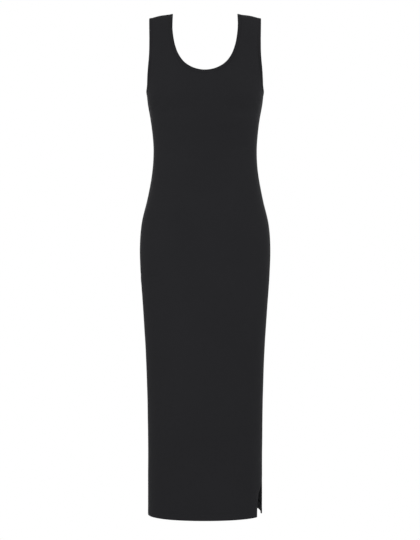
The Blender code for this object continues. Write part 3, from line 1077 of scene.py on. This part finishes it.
def knit_height(tree):
    """Rows of V stitches, 0 to 1, from the UV map in metres."""
    uv = tree.nodes.new("ShaderNodeUVMap")
    split = tree.nodes.new("ShaderNodeSeparateXYZ")
    tree.links.new(uv.outputs["UV"], split.inputs[0])
    wale = math_node(tree, "FRACT", math_node(tree, "DIVIDE", split.outputs["X"], WALE))
    from_middle = math_node(tree, "ABSOLUTE", math_node(tree, "SUBTRACT", wale, 0.5))
    leg = math_node(tree, "SINE", math_node(tree, "MULTIPLY", from_middle, 2 * math.pi))
    course = math_node(tree, "DIVIDE", split.outputs["Y"], COURSE)
    slanted = math_node(tree, "SUBTRACT", course, math_node(tree, "MULTIPLY", from_middle, V_SLOPE))
    row = math_node(tree, "ABSOLUTE", math_node(tree, "SINE", math_node(tree, "MULTIPLY", slanted, math.pi)))
    return math_node(tree, "MULTIPLY", leg, row)


def shades(tree, value, darkest, lightest):
    """Turns a value from 0 to 1 into a shade between two limits."""
    node = tree.nodes.new("ShaderNodeMapRange")
    node.inputs["To Min"].default_value = darkest
    node.inputs["To Max"].default_value = lightest
    tree.links.new(value, node.inputs["Value"])
    return node.outputs["Result"]


def cloudiness(tree):
    """Soft clouds, 0 to 1, for the uneven tone of dyed cloth."""
    place = tree.nodes.new("ShaderNodeTexCoord")
    cloudy = tree.nodes.new("ShaderNodeTexNoise")
    cloudy.inputs["Scale"].default_value = CLOUD_SCALE
    cloudy.inputs["Detail"].default_value = CLOUD_DETAIL
    tree.links.new(place.outputs["Object"], cloudy.inputs["Vector"])
    return cloudy.outputs["Fac"]


print("one V of the knit is", WALE, "by", COURSE, "m")


# %% Make the materials
def jersey_material(name, colour, bloom, knit=True):
    """Matt black cloth, with or without the rows of the knit: a bump, with painted shade in their gaps and
    painted highlight on the loops.
    """
    material = bpy.data.materials.new(name)
    material.use_nodes = True
    tree = material.node_tree
    shader = tree.nodes["Principled BSDF"]
    shader.inputs["Roughness"].default_value = JERSEY_ROUGHNESS
    shader.inputs["Specular IOR Level"].default_value = JERSEY_GLOSS
    shader.inputs["Sheen Weight"].default_value = bloom
    shader.inputs["Sheen Roughness"].default_value = BLOOM_ROUGHNESS
    shader.inputs["Sheen Tint"].default_value = BLOOM_TINT

    dye_tone_and_painted_shade = shades(tree, cloudiness(tree), *CLOUD_SHADES)
    if knit:
        height = knit_height(tree)
        # The knit's height also paints shade into the gaps between its stitches and a highlight on its loops.
        dye_tone_and_painted_shade = math_node(tree, "MULTIPLY", dye_tone_and_painted_shade, shades(tree, height, *KNIT_PAINTED_SHADE_AND_HIGHLIGHT))
        surface = tree.nodes.new("ShaderNodeBump")
        surface.inputs["Distance"].default_value = KNIT_HEIGHT
        surface.inputs["Strength"].default_value = KNIT_STRENGTH
        tree.links.new(height, surface.inputs["Height"])
        tree.links.new(surface.outputs["Normal"], shader.inputs["Normal"])
    tinted = tree.nodes.new("ShaderNodeMix")
    tinted.data_type = "RGBA"
    tinted.blend_type = "MULTIPLY"
    tinted.inputs["Factor"].default_value = 1
    tinted.inputs["A"].default_value = (*colour, 1)
    tree.links.new(dye_tone_and_painted_shade, tinted.inputs["B"])
    tree.links.new(tinted.outputs["Result"], shader.inputs["Base Color"])
    return material


jersey = jersey_material("black_jersey", *JERSEY_FINISH)
band_jersey = jersey_material("black_jersey_band", *BAND_FINISH)
thread = jersey_material("black_thread", *THREAD_FINISH, knit=False)
for material, pieces in (
    (jersey, [front, back]),
    (band_jersey, [neck_binding] + armhole_bindings),
    (thread, [neck_stitches, hem_stitches, slit_stitches] + armhole_stitches),
):
    for piece in pieces:
        piece.data.materials.clear()
        piece.data.materials.append(material)
    print(material.name, "on", ", ".join(piece.name for piece in pieces))

# %% [markdown]
# ## The room
#
# The photograph is a cut-out on pure white, lit softly from all round. A white world gives both. A large soft
# light at each side of the camera rounds the figure a little, the one at the wearer's right the stronger. One
# from above shades the cloth under the bust. Lights at the sides and behind brighten the flanks and show the
# folds of the back.

# %% World, lights and floor
WHITE = (1, 1, 1, 1)
PALE_GREY = (0.8, 0.8, 0.8, 1)
FLOOR_ROUGHNESS = 0.9
FLOOR_LEVEL = -1.5
FLOOR_SIZE = 1.4

world = bpy.data.worlds.new("white_room")
bpy.context.scene.world = world
world.use_nodes = True
world.node_tree.nodes["Background"].inputs["Color"].default_value = WHITE
world.node_tree.nodes["Background"].inputs["Strength"].default_value = 1.0

# Columns: name, place, aim, size, power in watts.
LIGHTS = (
    ("top_light", (0.0, -1.2, 1.2), (0, 0, -0.3), 0.6, 7),
    ("front_right_light", (-1.0, -1.3, -0.4), (0, 0, -0.45), 0.8, 12.5),
    ("front_left_light", (1.0, -1.3, -0.7), (0, 0, -0.55), 0.8, 8.5),
    ("side_right_light", (-1.5, 0.0, 0.5), (0, 0, -0.25), 0.8, 4),
    ("side_left_light", (1.5, 0.0, 0.5), (0, 0, -0.25), 0.8, 9),
    ("back_right_light", (-0.9, 2.3, 0.6), (0, 0, -0.5), 1.0, 30),
    ("back_left_light", (1.0, 2.4, -0.2), (0, 0, -0.5), 1.2, 18),
)

for name, place, aim, size, power in LIGHTS:
    bpy.ops.object.light_add(type="AREA", location=place)
    light = bpy.context.object
    light.name = light.data.name = name
    light.data.size = size
    light.data.energy = power
    light.visible_camera = False
    light.rotation_euler = (light.location - Vector(aim)).to_track_quat("Z", "Y").to_euler()
    light.select_set(False)

bpy.ops.mesh.primitive_plane_add(size=FLOOR_SIZE, location=(0, 0, FLOOR_LEVEL))
floor = bpy.context.object
floor.name = "floor"
bpy.ops.object.transform_apply(location=True, rotation=False, scale=False)
floor_paint = bpy.data.materials.new("floor_paint")
floor_paint.use_nodes = True
floor_paint.node_tree.nodes["Principled BSDF"].inputs["Base Color"].default_value = PALE_GREY
floor_paint.node_tree.nodes["Principled BSDF"].inputs["Roughness"].default_value = FLOOR_ROUGHNESS
floor.data.materials.append(floor_paint)
floor.select_set(False)
print(len(LIGHTS), "lights and a floor", round(-FLOOR_LEVEL - HEM_DROP, 2), "m below the hem")

# %% The photograph's camera
CAMERA_PLACE = (0.0122, -3.4, -0.6408)
CAMERA_LENS = 90.5
CAMERA_SENSOR = 36

bpy.ops.object.camera_add(location=CAMERA_PLACE, rotation=(QUARTER_TURN, 0, 0))
camera = bpy.context.object
camera.data.lens = CAMERA_LENS
camera.data.sensor_width = CAMERA_SENSOR
bpy.context.scene.camera = camera
bpy.context.scene.view_settings.view_transform = "Standard"
print("the camera is", -CAMERA_PLACE[1], "m in front of the middle of the dress")

# %% [markdown]
# ## What a binding's strip was cut to
#
# A binding is cut as a straight strip.


def cut_length(edge, inward):
    """The length of a binding's strip, along its middle."""
    return lengths_along(moved_right(edge, inward * BINDING_WIDTH / 2))[-1]


float(cut_length(whole_neck, INWARD["neck"]))
for binding, stitches in zip(armhole_bindings, armhole_stitches):
    float(cut_length(armhole_edge, INWARD["armhole"]))
print("the neck's strip is", round(cut_length(whole_neck, INWARD["neck"]), 3), "m long")
